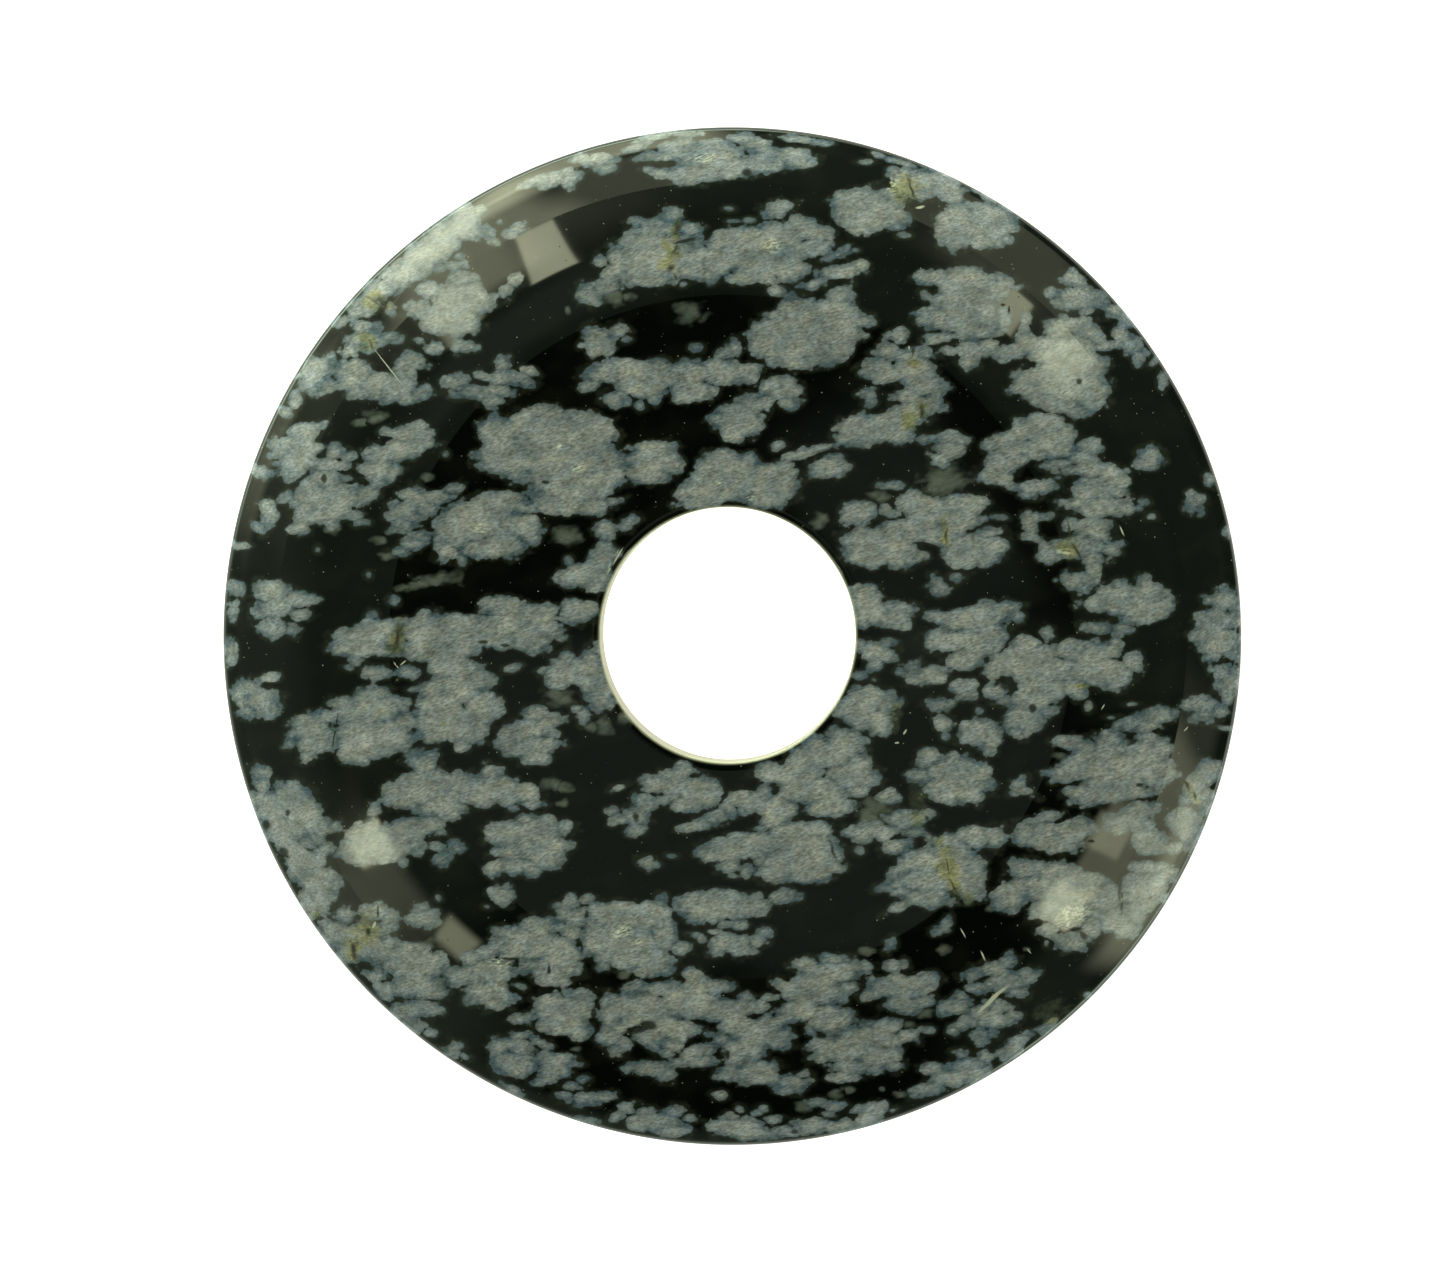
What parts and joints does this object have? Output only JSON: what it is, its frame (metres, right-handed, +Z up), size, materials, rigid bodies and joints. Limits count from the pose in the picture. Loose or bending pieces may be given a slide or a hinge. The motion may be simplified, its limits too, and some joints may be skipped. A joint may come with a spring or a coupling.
{
  "type": "snowflake obsidian donut",
  "caption": "Polished flat stone ring with bevelled shoulders and a round central hole, black glass with grey snowflake crystals, worn as a pendant on a cord.",
  "frame": {"origin": "centre of the outer circle, in the plane of the back face that the stone lies on", "axes": "+Z up through the thickness, towards the face that the picture shows; +Y towards the top of the picture and +X towards its right"},
  "size_m": [0.05, 0.05, 0.0065],
  "materials": {
    "obsidian": "polished"
  },
  "bodies": {
    "root": {"donut": "obsidian"}
  },
  "joints": []
}
